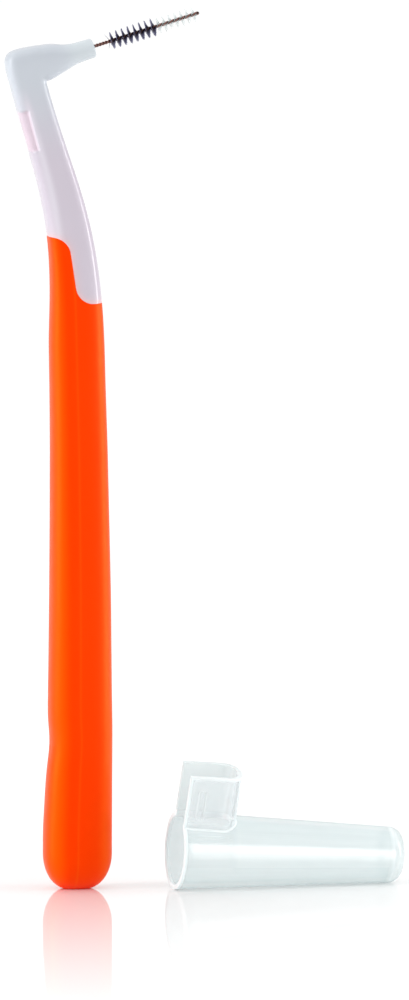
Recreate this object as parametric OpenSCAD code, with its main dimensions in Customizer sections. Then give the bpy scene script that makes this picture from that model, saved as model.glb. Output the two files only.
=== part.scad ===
// Angled interdental brush standing on its foot, with its clear cap lying beside it.
// The profile lies in the XZ plane, with the brush pointing to +X and a little up.
// The origin is the centre of the foot's flat, on the surface that it stands on.

/* [Grip] */
// Widest part of the grip, just above the foot
grip_w = 9.3; // [8:0.05:11]
// Greatest thickness of the grip
grip_t = 6.6; // [5.4:0.1:8]
// Height at which the grip ends its straight part and the neck starts to lean
grip_h = 75; // [65:1:80]
// Width of the flat under the foot
foot_w = 2.8; // [2:0.1:5]
// Thickness of the flat under the foot
foot_t = 2; // [1.6:0.1:4]
// Height over which the foot is rounded
foot_round = 4.8; // [3:0.1:6]

/* [Neck] */
// Height of the neck, from the grip's straight part to the head's axis
neck_h = 36.6; // [33:0.1:45]
// Sideways distance from the grip's axis to where the head's axis crosses the neck
neck_offset = 7.35; // [3:0.05:10]
// Width of the neck below the elbow
neck_w = 4.75; // [4:0.05:5.4]
// Thickness of the neck
neck_t = 3.8; // [3.2:0.05:4.4]
// Radius inside the elbow
elbow_r = 0.25; // [0.25:0.05:1]
// Lowest point of the white part on the front of the grip, above the grip's straight part
seam_rise = 4.6; // [2:0.1:6]
// Height of the S-shaped step between the white and the orange
seam_step = 9.1; // [6:0.1:11]
// Radius of the two bends in the S-shaped step
seam_r = 2.6; // [1:0.1:3]
// Lean of the S-shaped step, in degrees
seam_lean = 8; // [0:1:15]

/* [Spine inside the grip] */
// Width of the spine
spine_w = 3.2; // [2.4:0.1:3.6]
// Thickness of the spine
spine_t = 2.4; // [1.6:0.1:3.2]
// Orange left behind the spine at the top of the grip's straight part
spine_back = 0.95; // [0.7:0.05:1.2]
// Height of the spine's lower end above the foot
spine_z = 16; // [12:1:30]
// Diameter of the holes that key the grip to the spine
key_d = 1.6; // [1:0.1:2]
// Number of those holes
key_count = 4; // [2:1:6]

/* [Head] */
// Rise of the head's axis above the horizontal, in degrees
head_tilt = 15.7; // [5:0.1:25]
// Length from the middle of the neck to the end of the boss
head_l = 10; // [9:0.1:12]
// Height of the head where it leaves the elbow
head_h = 4.95; // [4.2:0.05:5.4]
// Diameter of the boss at its end
boss_d = 2.65; // [2:0.05:3]
// How far the boss sits below the wire at its end
boss_drop = 0.15; // [0:0.01:0.2]

/* [Notch for the cap] */
// Distance from the head's axis down to the notch
notch_top = 5.4; // [5:0.1:6]
// Length of the notch
notch_l = 5.6; // [4:0.1:7]
// Width of the notch, measured from the back of the neck
notch_w = 1.05; // [0.8:0.05:1.3]
// Depth of the notch in each side of the neck
notch_depth = 0.45; // [0.3:0.05:0.6]

/* [Twisted wire] */
// Diameter over the twisted pair of strands
wire_d = 0.5; // [0.4:0.01:0.6]
// Length of wire held inside the boss
wire_tail = 6; // [3:0.1:8]
// Bare wire between the boss and the first tuft
wire_bare = 2.45; // [1:0.05:4]
// Bare wire beyond the last tuft, as far as the centre of the rounded tip
wire_end = 0.15; // [0.1:0.05:1]

/* [Tufts] */
// Length of wire in half a turn, which is one tuft
tuft_l = 0.84; // [0.8:0.01:1]
// Number of tufts of dark filament
dark_count = 8; // [4:1:10]
// Number of tufts of pale filament
pale_count = 7; // [4:1:10]
// Diameter over the first dark tuft
dark_d = 2.4; // [2:0.05:3]
// Diameter over the last dark tuft
dark_end_d = 2.6; // [2:0.05:3]
// Diameter over the pale tufts
pale_d = 2.3; // [2:0.05:3]
// Thickness of a filament
filament_d = 0.07; // [0.05:0.005:0.08]
// Number of filament ends in one tuft, half of them on each side of the wire
filament_count = 24; // [20:2:26]

/* [Cap] */
// Outside diameter at the mouth
cap_mouth_d = 10.65; // [10.4:0.05:12]
// Outside diameter where the end starts to round off
cap_end_d = 7.6; // [7.4:0.05:9]
// Length of the tapered part
cap_taper_l = 29.7; // [29:0.1:36]
// Radius of the rounded end
cap_end_r = 1.8; // [1.2:0.1:2.4]
// Wall of the cap
cap_wall = 0.65; // [0.5:0.05:0.8]
// Wall that closes the end
cap_end_wall = 1; // [0.7:0.05:1.2]
// Length of the channel along the cap
channel_l = 7.65; // [7:0.05:9]
// Height of the channel's top edge above the cap's axis
channel_h = 12.2; // [11.6:0.1:14]
// How much lower the channel's top is at its closed end
channel_drop = 0.3; // [0:0.05:0.6]
// Clearance between the neck and each side of the channel
channel_gap = 0.1; // [0.05:0.05:0.2]
// Radius of the two corners at the closed end of the channel
channel_r = 2.3; // [1:0.1:2.4]
// Distance from the mouth to the middle of the rib that clicks into the notch
rib_from_mouth = 2.1; // [1.4:0.1:2.6]
// Width of the rib
rib_w = 0.9; // [0.6:0.05:1]
// How far the rib stands out of the channel's side
rib_out = 0.25; // [0.15:0.05:0.3]
// Length of the rib
rib_l = 4.2; // [3:0.1:5]
// Clearance between the rib and the notch at the end nearer the head's axis
rib_gap = 0.3; // [0.1:0.05:0.5]
// How far the mouth stands to the right of the foot
cap_x = 12.55; // [11:0.05:20]
// How far the cap's axis lies in front of the foot
cap_y = 4.7; // [0:0.1:14]
// How far the channel leans to the front, in degrees
cap_roll = 20; // [0:0.5:30]

/* [Hidden] */
// Points around each section of the handle
ring_n = 32;
// Steps round the foot, along the neck and round the elbow
foot_steps = 7;
neck_steps = 12;
elbow_steps = 12;
// Facets of true rounds, which are exact in the solid, and points of a drawn arc
round_n = 48;
arc_steps = 6;
// Sides of a filament and of the slice of wire that carries it
filament_sides = 3;
slice_sides = 12;
// Overrun of every cut past the face that it cuts
run = 1;

// Squareness of the sections: 2 is an ellipse, and higher numbers are boxier
grip_square = 2.6;
neck_square = 3.4;
boss_square = 2;
// Squareness of the elbow's outer corner
corner_square = 5;
// Angle between the top of the head and its axis, in degrees
head_flare = 7.4;
// How fast the neck narrows
neck_taper_share = 1.85;
// Lengths of the two bends of the neck's middle line, as shares of its height
bend_low_share = 0.48;
bend_high_share = 0.42;
// Radius of the wire's middle, round which the slices that carry filaments sit, how deep a
// filament is rooted in its slice, and how thick its tip is beside its root
wire_core_share = 0.7;
root_depth_share = 0.75;
filament_tip_share = 0.67;
// How far the seam stands off the middle line of the neck, beside the seam's radius
seam_shift_share = 0.26;
// How far the spine reaches into the white part, beside the seam's radius
spine_reach_share = 0.5;

// Sections of the grip from the foot up: height as a share of grip_h, then the place of the
// middle, the width and the thickness as shares of grip_w, grip_w and grip_t
grip_shares = [
    [0.109, 0.015, 1.000, 1.00],
    [0.160, 0.029, 0.977, 0.99],
    [0.200, 0.038, 0.960, 0.98],
    [0.227, 0.051, 0.938, 0.97],
    [0.251, 0.066, 0.912, 0.96],
    [0.267, 0.073, 0.900, 0.96],
    [0.283, 0.068, 0.911, 0.96],
    [0.304, 0.054, 0.937, 0.96],
    [0.333, 0.053, 0.930, 0.96],
    [0.400, 0.054, 0.915, 0.96],
    [0.533, 0.055, 0.892, 0.95],
    [0.667, 0.046, 0.859, 0.93],
    [0.800, 0.035, 0.832, 0.90],
    [0.907, 0.017, 0.811, 0.87],
    [1.000, 0.000, 0.806, 0.84]
];

// Sections of the head from the elbow to the boss: place along the head as a share of its
// length, then the shares of the way from the boss's size and drop to the elbow's
head_shares = [
    [0.06, 0.953, 0.60],
    [0.13, 0.890, 0.70],
    [0.25, 0.740, 0.80],
    [0.32, 0.610, 0.60],
    [0.39, 0.460, 0.30],
    [0.45, 0.330, 0.10],
    [0.52, 0.210, 0.00],
    [0.61, 0.100, 0.00],
    [0.72, 0.040, 0.00],
    [1.00, 0.000, 0.00]
];

// Height at which the head's axis crosses the middle of the neck
handle_h = grip_h + neck_h;
wire_r = wire_d/2;
boss_r = boss_d/2;
brush_l = tuft_l*(dark_count + pale_count);
wire_l = wire_bare + brush_l + wire_end;
wire_core_r = wire_r*wire_core_share;
// Angle between one filament and the next round the wire
filament_turn = 360/filament_count;

// Height of the elbow's inner centre below the head's axis, and its place along that axis
pivot_n = -head_h/2 - elbow_r;
pivot_s = neck_w/2 + elbow_r - head_l;

// Middle line of the neck, from the top of the grip to the foot of the elbow
neck_low = [0, grip_h];
neck_high = head_point(-head_l, pivot_n);
neck_rise = neck_high[1] - grip_h;
neck_bend_low = neck_low + [0, bend_low_share*neck_rise];
neck_bend_high = neck_high - bend_high_share*neck_rise*head_up();

cap_slope = atan((cap_mouth_d - cap_end_d)/2/cap_taper_l);
cap_l = cap_taper_l + cap_end_r;
channel_in_w = neck_t + 2*channel_gap;
channel_out_w = channel_in_w + 2*cap_wall;
rib_low = notch_top + rib_gap;
rib_high = rib_low + rib_l;
// How deep the rib is rooted in the channel's side
rib_root = cap_wall/2;

// Width of the grip where its straight part ends
grip_top_w = grip_shares[len(grip_shares) - 1][2]*grip_w;

seam_low_z = grip_h + seam_rise;
seam_top_z = seam_low_z + seam_step;

DARK_TUFTS = [for (i = [1:dark_count]) str("dark_tuft_", i)];
PALE_TUFTS = [for (i = [1:pale_count]) str("pale_tuft_", i)];

// Directions along the head and square to it, in the XZ plane
function head_along() = [cos(head_tilt), sin(head_tilt)];
function head_up() = [-sin(head_tilt), cos(head_tilt)];

// A point given along and square to the head, counted from the end of the boss on the wire
function head_point(s, n) =
    [-neck_offset, handle_h] + (s + head_l)*head_along() + n*head_up();

function mix(low, high, share) = low + (high - low)*share;
function signed_power(x, p) = sign(x)*pow(abs(x), p);

// A section: middle point, tilt of its width in degrees, half width, half thickness, squareness
function section(middle, tilt, half_w, half_t, square) = [middle, tilt, half_w, half_t, square];

function section_ring(part) = [
    for (i = [0:ring_n - 1])
        let (
            a = 360*i/ring_n,
            u = part[2]*signed_power(cos(a), 2/part[4]),
            v = part[3]*signed_power(sin(a), 2/part[4])
        )
        [part[0][0] + u*cos(part[1]), v, part[0][1] + u*sin(part[1])]
];

foot_sections = [
    for (i = [0:foot_steps - 1])
        let (a = 90*i/foot_steps, first = grip_shares[0])
        section(
            [first[1]*grip_w*sin(a), foot_round*(1 - cos(a))], 0,
            mix(foot_w, grip_w, sin(a))/2, mix(foot_t, grip_t, sin(a))/2, grip_square
        )
];

grip_sections = [
    for (row = grip_shares)
        section(
            [row[1]*grip_w, row[0]*grip_h], 0,
            row[2]*grip_w/2, row[3]*grip_t/2, grip_square
        )
];

function bend_point(t) =
    pow(1 - t, 3)*neck_low + 3*pow(1 - t, 2)*t*neck_bend_low
    + 3*(1 - t)*t*t*neck_bend_high + pow(t, 3)*neck_high;

function bend_way(t) =
    pow(1 - t, 2)*(neck_bend_low - neck_low) + 2*(1 - t)*t*(neck_bend_high - neck_bend_low)
    + t*t*(neck_high - neck_bend_high);

neck_sections = [
    for (i = [1:neck_steps])
        let (
            t = i/neck_steps,
            way = bend_way(t),
            last = grip_shares[len(grip_shares) - 1],
            fade = pow(1 - t, neck_taper_share)
        )
        section(
            bend_point(t), atan(-way[0]/way[1]),
            mix(neck_w, last[2]*grip_w, fade)/2, mix(neck_t, last[3]*grip_t, fade)/2,
            mix(neck_square, grip_square, fade)
        )
];

// Distance from the elbow's inner centre to its back and top, which meet in a rounded corner
function elbow_reach(a) =
    let (
        back = max(0, -cos(a))/(neck_w + elbow_r),
        top = max(0, sin(a + head_flare))/((head_h + elbow_r)*cos(head_flare))
    )
    1/pow(pow(back, corner_square) + pow(top, corner_square), 1/corner_square);

elbow_sections = [
    for (i = [1:elbow_steps])
        let (
            a = 180 - 90*i/elbow_steps,
            out = elbow_reach(a),
            mid = (out + elbow_r)/2
        )
        section(
            head_point(pivot_s + mid*cos(a), pivot_n + mid*sin(a)), head_tilt + a - 180,
            (out - elbow_r)/2, neck_t/2, neck_square
        )
];

head_sections = [
    for (row = head_shares)
        section(
            head_point(pivot_s*(1 - row[0]), mix(-boss_drop, 0, row[2])), head_tilt - 90,
            mix(boss_d, head_h, row[1])/2, mix(boss_d, neck_t, row[1])/2,
            mix(boss_square, neck_square, row[1])
        )
];

// The grip goes up past its seam, and the neck starts at the grip's last section
last_grip_section = grip_sections[len(grip_sections) - 1];
sections_at_seam = [for (part = neck_sections) if (part[0][1] < seam_top_z + neck_w) part];
grip_body_sections = concat(foot_sections, grip_sections, sections_at_seam);
neck_body_sections = concat(
    [last_grip_section], neck_sections, elbow_sections, head_sections
);
middle_line = [for (part = concat(grip_sections, neck_sections)) [part[0][1], part[0][0]]];

// The seam's two bends, which the leaning line joins, and its middle
seam_line = (seam_step - 2*seam_r + 2*seam_r*sin(seam_lean))/cos(seam_lean);
seam_shift = seam_r*cos(seam_lean) + seam_line*sin(seam_lean)/2;
seam_x = lookup(seam_low_z + seam_step/2, middle_line) - seam_r*seam_shift_share;

// A closed skin over a list of sections, with flat ends
module loft(sections) {
    rings = [for (part = sections) section_ring(part)];
    points = [for (ring = rings) each ring];
    last = len(rings) - 1;
    sides = [
        for (r = [0:last - 1], i = [0:ring_n - 1])
            let (
                a = r*ring_n + i,
                b = r*ring_n + (i + 1)%ring_n
            )
            each [[a, a + ring_n, b], [b, a + ring_n, b + ring_n]]
    ];
    bottom = [for (i = [0:ring_n - 1]) i];
    top = [for (i = [ring_n - 1:-1:0]) last*ring_n + i];
    polyhedron(points, concat([bottom], sides, [top]));
}

// Moves what is drawn along +X, counted from the end of the boss, onto the head's axis
module on_head() {
    end = head_point(0, 0);
    translate([end[0], 0, end[1]]) rotate([0, -head_tilt, 0]) children();
}

// A round bar along +X
module bar(length, r) {
    rotate([0, 90, 0]) cylinder(h = length, r = r, $fn = round_n);
}

function arc(middle, r, from, to) = [
    for (i = [0:arc_steps])
        let (a = mix(from, to, i/arc_steps))
        middle + r*[cos(a), sin(a)]
];

// Everything on the orange side of the seam
module below_seam() {
    far = grip_w + neck_offset;
    outline = concat(
        [[-far, -run], [-far, seam_top_z]],
        arc([seam_x - seam_shift, seam_top_z - seam_r], seam_r, 90, seam_lean),
        arc([seam_x + seam_shift, seam_low_z + seam_r], seam_r, 180 + seam_lean, 270),
        [[far, seam_low_z], [far, -run]]
    );
    rotate([90, 0, 0])
        linear_extrude(height = grip_t + 2*run, center = true) polygon(outline);
}

module spine() {
    top = seam_top_z + seam_r*spine_reach_share;
    left = spine_back - grip_top_w/2;
    difference() {
        translate([left, -spine_t/2, spine_z]) cube([spine_w, spine_t, top - spine_z]);
        for (i = [1:key_count])
            translate([left + spine_w/2, 0, mix(spine_z, seam_low_z, i/(key_count + 1))])
                rotate([90, 0, 0])
                    cylinder(h = spine_t + run, d = key_d, center = true, $fn = round_n);
    }
}

module notches() {
    for (side = [-1, 1])
        translate([-head_l - neck_w/2 - run, side*(neck_t/2 + run - notch_depth), -notch_top])
            translate([0, -run, -notch_l])
                cube([notch_w + run, 2*run, notch_l]);
}

module neck() {
    color("whitesmoke")
    difference() {
        union() {
            difference() {
                loft(neck_body_sections);
                below_seam();
            }
            spine();
        }
        on_head() notches();
        on_head() translate([-wire_tail, 0, 0]) bar(wire_tail + run, wire_r);
    }
}

module grip() {
    color("orangered")
    difference() {
        intersection() {
            loft(grip_body_sections);
            below_seam();
        }
        spine();
    }
}

// The wire's middle, on which the slices sit face to face
module wire_core(length) {
    rotate([0, 90, 0]) cylinder(h = length, r = wire_core_r, $fn = slice_sides);
}

module wire() {
    color("peru")
    on_head() {
        translate([-wire_tail, 0, 0]) bar(wire_tail + wire_bare, wire_r);
        wire_core(wire_l);
        translate([wire_bare + brush_l, 0, 0]) bar(wire_end, wire_r);
        translate([wire_l, 0, 0]) sphere(r = wire_r, $fn = round_n);
    }
}

// One filament end, a tapering three-sided strand along +Z
module filament(length) {
    root = mix(wire_r*cos(180/slice_sides), wire_core_r, root_depth_share);
    root_r = filament_d/2;
    ends = [
        for (level = [[root, root_r], [length, root_r*filament_tip_share]])
            for (i = [0:filament_sides - 1])
                let (a = 360*i/filament_sides)
                [level[1]*cos(a), level[1]*sin(a), level[0]]
    ];
    root_face = [for (i = [0:filament_sides - 1]) i];
    tip_face = [for (i = [filament_sides - 1:-1:0]) filament_sides + i];
    walls = [
        for (i = [0:filament_sides - 1])
            let (j = (i + 1)%filament_sides)
            each [[i, i + filament_sides, j], [j, i + filament_sides, j + filament_sides]]
    ];
    polyhedron(ends, concat([root_face], walls, [tip_face]));
}

// One half turn of filaments on their slice of the wire. They fan out on both sides of it, and
// those in the middle of the slice point straight up and down.
module tuft(start, reach) {
    on_head() translate([start, 0, 0]) {
        difference() {
            rotate([0, 90, 0]) cylinder(h = tuft_l, r = wire_r, $fn = slice_sides);
            translate([-run, 0, 0]) wire_core(tuft_l + 2*run);
        }
        for (i = [0:filament_count - 1])
            let (
                pair = floor(i/2),
                side = i%2
            )
            translate([tuft_l*(pair + 0.5)*2/filament_count, 0, 0])
                rotate([90 - filament_turn*(pair + 0.5) + 180*side, 0, 0])
                    filament(reach);
    }
}

module dark_tuft(i) {
    color("darkslategray")
        tuft(wire_bare + tuft_l*(i - 1), mix(dark_d, dark_end_d, (i - 1)/(dark_count - 1))/2);
}

module pale_tuft(i) {
    color("lightsteelblue")
        tuft(wire_bare + tuft_l*(dark_count + i - 1), pale_d/2);
}

// Half outline of the cap's outside or its bore, turned round the cap's axis
module turned_taper(mouth_r, end_r, length, corner_r) {
    rotate([0, 90, 0]) rotate_extrude($fn = 2*round_n)
        polygon(concat(
            [[0, 0], [mouth_r, 0]],
            arc([end_r - corner_r, length - corner_r], corner_r, 0, 90),
            [[0, length]]
        ));
}

// The channel seen from above: open at the mouth of the cap, and rounded at its closed end
module channel_plan(length, width, corner_r) {
    translate([0, -width/2]) square([length - corner_r, width]);
    translate([0, corner_r - width/2]) square([length, width - 2*corner_r]);
    for (side = [-1, 1])
        translate([length - corner_r, side*(width/2 - corner_r)])
            circle(r = corner_r, $fn = round_n);
}

// The channel's outside, with its top sloping down to the closed end
module channel_block() {
    difference() {
        linear_extrude(height = channel_h) channel_plan(channel_l, channel_out_w, channel_r);
        translate([0, -channel_out_w, channel_h])
            rotate([0, atan(channel_drop/channel_l), 0])
                translate([-run, 0, 0]) cube([channel_l + 2*run, 2*channel_out_w, run]);
    }
}

module click_ribs() {
    for (side = [-1, 1])
        translate([rib_from_mouth, side*(channel_in_w/2 + rib_root/2 - rib_out/2), 0])
            rotate([90, 0, 0])
                linear_extrude(height = rib_out + rib_root, center = true)
                    union() {
                        translate([-rib_w/2, rib_low]) square([rib_w, rib_high - rib_w/2 - rib_low]);
                        translate([0, rib_high - rib_w/2]) circle(d = rib_w, $fn = round_n);
                    }
}

module cap() {
    mouth_r = cap_mouth_d/2;
    end_r = cap_end_d/2;
    color([0.85, 0.93, 0.93, 0.5])
    translate([cap_x, -cap_y, mouth_r*cos(cap_slope)])
    rotate([0, cap_slope, 0])
    rotate([cap_roll, 0, 0])
    union() {
        difference() {
            union() {
                turned_taper(mouth_r, end_r, cap_l, cap_end_r);
                channel_block();
            }
            turned_taper(
                mouth_r - cap_wall, end_r - cap_wall,
                cap_l - cap_end_wall, cap_end_r - cap_wall
            );
            translate([-run, 0, 0])
                linear_extrude(height = channel_h + run)
                    channel_plan(
                        channel_l - cap_wall + run, channel_in_w, channel_r - cap_wall
                    );
        }
        click_ribs();
    }
}

neck();
grip();
wire();
cap();
for (i = [1:dark_count])
    dark_tuft(i);
for (i = [1:pale_count])
    pale_tuft(i);
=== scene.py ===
import math

import bmesh
import bpy
import numpy as np
from mathutils import Matrix, Vector


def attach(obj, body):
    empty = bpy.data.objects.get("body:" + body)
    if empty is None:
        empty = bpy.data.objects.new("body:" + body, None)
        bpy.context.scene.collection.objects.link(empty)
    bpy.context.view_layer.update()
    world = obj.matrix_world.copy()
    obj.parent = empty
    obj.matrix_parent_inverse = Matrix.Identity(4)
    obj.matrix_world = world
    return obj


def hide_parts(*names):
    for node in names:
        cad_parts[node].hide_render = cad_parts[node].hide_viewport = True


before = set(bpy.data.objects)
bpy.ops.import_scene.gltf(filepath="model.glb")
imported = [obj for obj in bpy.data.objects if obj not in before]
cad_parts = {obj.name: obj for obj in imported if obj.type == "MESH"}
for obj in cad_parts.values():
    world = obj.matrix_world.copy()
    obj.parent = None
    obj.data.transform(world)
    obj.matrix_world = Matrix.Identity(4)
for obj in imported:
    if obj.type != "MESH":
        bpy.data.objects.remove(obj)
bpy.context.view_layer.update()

MM = 0.001
SEED = 7

# Grip and foot
GRIP_W = 9.3
GRIP_T = 6.6
GRIP_H = 75
FOOT_W = 2.8
FOOT_T = 2
FOOT_ROUND = 4.8
GRIP_SQUARE = 2.6
# Sections from the foot up: height, place of the middle, width and thickness, as shares of
# GRIP_H, GRIP_W, GRIP_W and GRIP_T
GRIP_SHARES = np.array([
    [0.064, 0.015, 1.000, 1.00],
    [0.109, 0.015, 1.000, 1.00],
    [0.160, 0.029, 0.977, 0.99],
    [0.200, 0.038, 0.960, 0.98],
    [0.227, 0.051, 0.938, 0.97],
    [0.251, 0.066, 0.912, 0.96],
    [0.267, 0.073, 0.900, 0.96],
    [0.283, 0.068, 0.911, 0.96],
    [0.304, 0.054, 0.937, 0.96],
    [0.333, 0.053, 0.930, 0.96],
    [0.400, 0.054, 0.915, 0.96],
    [0.533, 0.055, 0.892, 0.95],
    [0.667, 0.046, 0.859, 0.93],
    [0.800, 0.035, 0.832, 0.90],
    [0.907, 0.017, 0.811, 0.87],
    [1.000, 0.000, 0.806, 0.84],
])
GRIP_FOOT_X = GRIP_SHARES[0, 1]*GRIP_W
GRIP_TOP_W = GRIP_SHARES[-1, 2]*GRIP_W
GRIP_TOP_T = GRIP_SHARES[-1, 3]*GRIP_T
DENT_TOP_Z = 24

# Neck, elbow and head
NECK_H = 36.6
NECK_OFFSET = 7.35
NECK_W = 4.75
NECK_T = 3.8
NECK_SQUARE = 3.4
NECK_TAPER_SHARE = 1.85
BEND_LOW_SHARE = 0.48
BEND_HIGH_SHARE = 0.42
ELBOW_R = 0.25
CORNER_SQUARE = 5
HEAD_TILT = 15.7
HEAD_FLARE = 7.4
HEAD_L = 10
HEAD_H = 4.95
BOSS_D = 2.65
BOSS_DROP = 0.15
BOSS_SQUARE = 2
BOSS_EDGE_R = 0.18
BOSS_FACE_SHARES = (0.25, 0.5, 0.75, 1)
# Sections of the head from the elbow to the boss: place along the head, then the shares of the
# way from the boss's size and drop to the elbow's
HEAD_SHARES = np.array([
    [0.00, 1.000, 1.00],
    [0.06, 0.953, 0.60],
    [0.13, 0.890, 0.70],
    [0.25, 0.740, 0.80],
    [0.32, 0.610, 0.60],
    [0.39, 0.460, 0.30],
    [0.45, 0.330, 0.10],
    [0.52, 0.210, 0.00],
    [0.61, 0.100, 0.00],
    [0.72, 0.040, 0.00],
    [1.00, 0.000, 0.00],
])

# Seam between the white and the orange, whose edges are rounded into a fine groove, and where on
# that rounding there are rows of points
SEAM_RISE = 4.6
SEAM_STEP = 9.1
SEAM_R = 2.6
SEAM_SHIFT_SHARE = 0.26
SEAM_LEAN = 8
SEAM_EDGE_R = 0.07
SEAM_EDGE_SHARES = np.array([0, 0.12, 0.35, 0.65, 1])
SEAM_ZONE = 2.6

# Notch in each side of the neck, with softened edges
NOTCH_TOP = 5.4
NOTCH_L = 5.6
NOTCH_W = 1.05
NOTCH_DEPTH = 0.45
NOTCH_EDGE = 0.3
NOTCH_MARGIN = 1

# Spine of the white part inside the grip, the orange behind it, and its cross holes
SPINE_W = 3.2
SPINE_T = 2.4
SPINE_BACK = 0.95
SPINE_Z = 16
KEY_D = 1.6
KEY_COUNT = 4
KEY_SIDES = 32

# Lighter places on the grip: its parting line, counted from the middle of its width, and painted
# light on its two sides, as shares of half its width
PART_LINE_X = -0.72
PART_LINE_W = 0.16
PART_LINE_SHARE = 0.5
LIT_SIDE_START = 0.45
LIT_SIDE_FADE = 0.5

# Tints on the neck: lilac towards the grip, pink at the seam and in the notch, lighter on the
# head, and a painted highlight in a band along the side away from it
LILAC_FADE = 14
RIM_SHARE = 0.45
RIM_FADE = 0.35
SEAM_BLUSH_SHARE = 0.12
SEAM_BLUSH_FADE = 2.5
NOTCH_BLUSH_SHARE = 0.6
LIGHT_SHARE = 0.6
LIGHT_START = 5
LIGHT_FADE = 3
SHEEN_INSIDE = 1.1
SHEEN_W = 0.5
SHEEN_START = 2
SHEEN_FADE = 4

# Twisted wire: two strands, wound tighter where they are bare, with painted shade between the strands
# and where the dark filaments cover it
WIRE_D = 0.5
WIRE_BARE = 2.45
WIRE_END = 0.15
WIRE_TAIL = 1.2
WIRE_TAIL_CUT = 0.3
WIRE_STEP = 0.05
WIRE_BEND_STEPS = 12
TWIST_STEPS = 4000
WIRE_TUFT_SHADE_SHARE = 0.85
BARE_HALF_PITCH = 0.43
PITCH_CHANGE_START = 0.6
PITCH_CHANGE_L = 0.9
STRAND_R = 0.14
STRAND_SIDES = 12
STRAND_SHADE_R = 0.23
STRAND_SHADE_FADE = 0.07
HOLE_R = 0.28
HOLE_DEPTH = 0.9
HOLE_SHARES = (0.03, 0.1, 0.5, 1)

# Tufts, one for each half turn: diameters of the first and the last, number of filaments, each
# with two ends, and their radius at the root and at the tip
TUFT_L = 0.84
DARK_COUNT = 8
DARK_D = (2.4, 2.6)
DARK_FILAMENTS = 56
DARK_R = (0.040, 0.018)
PALE_COUNT = 7
PALE_D = (2.3, 2.3)
PALE_FILAMENTS = 22
PALE_R = (0.028, 0.014)
FILAMENT_START = 0.12
FILAMENT_ROWS = 5
FILAMENT_SIDES = 4
# Ends that point forward or back are shorter than those that point up or down
LEVEL_REACH_SHARE = 0.78
# Unevenness of the filaments: of their place, as a share of their spacing, their angle, their
# length, and their bend along and round the wire
PLACE_SPREAD = 0.3
ANGLE_SPREAD = 0.05
LENGTH_SPREAD = 0.05
BEND_ALONG_SPREAD = 0.03
BEND_ROUND_SPREAD = 0.04
# Stray ends of the first tuft: place along it, angle, share of its reach, and lean
STRAYS = [(0.05, 0.25, 0.95, -0.55), (0.02, 3.3, 0.8, -0.3)]
# Where the paler tips start and how far they fade in, as shares of the reach
TIP_START = 0.15
TIP_FADE = 0.6
# How far the filaments lean along the wire to gather into one spike for each half turn, above
# and below it
GATHER_UP = -0.35
LEAN_UP = -0.12
GATHER_DOWN = 1.0

# Cap
CAP_MOUTH_D = 10.65
CAP_END_D = 7.6
CAP_TAPER_L = 29.7
CAP_END_R = 1.8
CAP_WALL = 0.65
CAP_END_WALL = 1
CHANNEL_L = 7.65
CHANNEL_H = 12.2
CHANNEL_DROP = 0.3
CHANNEL_GAP = 0.1
CHANNEL_R = 2.3
RIB_FROM_MOUTH = 2.1
RIB_W = 0.9
RIB_OUT = 0.25
RIB_L = 4.2
RIB_GAP = 0.3
RIB_LOW = NOTCH_TOP + RIB_GAP
RIB_HIGH = RIB_LOW + RIB_L
RIB_EDGE = 0.22
CAP_X = 12.55
CAP_Y = 4.7
CAP_ROLL = 20
CAP_EDGE_R = 0.1
CAP_EDGE_STEPS = 3
CAP_EDGE_LEAST_TURN = 40
CAP_SLOPE = math.atan((CAP_MOUTH_D - CAP_END_D)/2/CAP_TAPER_L)
CAP_L = CAP_TAPER_L + CAP_END_R
CHANNEL_IN_W = NECK_T + 2*CHANNEL_GAP
CHANNEL_OUT_W = CHANNEL_IN_W + 2*CAP_WALL
# Overrun of every cut past the face that it cuts
RUN = 1

# Steps of the meshes: round half a section, round the cap, along it, in an arc, and from row to row
RING_HALF_STEPS = 64
ROUND_STEPS = 96
TAPER_STEPS = 24
ARC_STEPS = 16
ROW_STEP = 0.15
# Rows from one ring of points to the next on the neck and the grip
RING_ROWS = 3
# Least angle between columns, as a share of an even step, and from the last one to the half turn
COLUMN_LEAST_SHARE = 0.35
COLUMN_LAST_GAP = 0.01
# Fine rows over the seam's zone, those searched for its edge on each side, and the rings beyond it
SEAM_FINE_ROWS = 900
SEAM_NEAR_ROWS = 200
SEAM_RINGS = 24
# Reach of the smoothing along the straight part and along the head, in rows
STRAIGHT_BELL = 8
HEAD_BELL = 3
# A tube that starts steeper than this has its first side towards the back, not upwards
NEARLY_UPRIGHT = 0.9
# Points closer together than this, in metres, are one point
MERGE_GAP = 1e-8
# Edges that turn more than this stay sharp
SMOOTH_TURN = 60
CRISP_TURN = 35

# Noise blobs a metre in the colour and gloss of each material, and in the plastics' fine skin
PLASTIC_BLOBS = (90, 260)
WIRE_BLOBS = (2500, 5000)
NYLON_BLOBS = (4000, 3000)
CAP_BLOBS = (120, 300)
SKIN_BLOBS = 1600
SKIN_DETAIL = 2
SKIN_DEPTH = 0.004
SKIN_STRENGTH = 0.5

# How much the clear cap veils what is behind it: through its skin, its bore, the inside of its
# mouth, and its channel's back and front walls. Slant and lit edges add to that, and streaks vary it.
SKIN_HAZE = 0.42
BORE_HAZE = 0.12
INSIDE_HAZE = 0.14
BACK_HAZE = 0.45
FRONT_HAZE = 0.18
SLANT_HAZE = 0.30
SLANT_POWER = 4
EDGE_HAZE = 0.5
CAP_STREAK = 0.035
STREAK_SQUEEZE = 0.008
STREAK_BLOBS = 3.5
STREAK_DETAIL = 2
STREAK_RANGE = (0.2, 0.8)
# Where those regions start and how softly, and how much painted light two of them get
CAP_EDGE_GLOW = 0.12
CAP_BORE_SLACK = 0.02
CAP_BORE_FADE = 0.08
CAP_INSIDE_X = 1
CAP_INSIDE_FADE = 3
CAP_BACK_Y = 0.6
CHANNEL_END_GLOW = 0.9
CAP_TIP_FADE = 0.7
CAP_TIP_GLOW = 0.5
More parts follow.
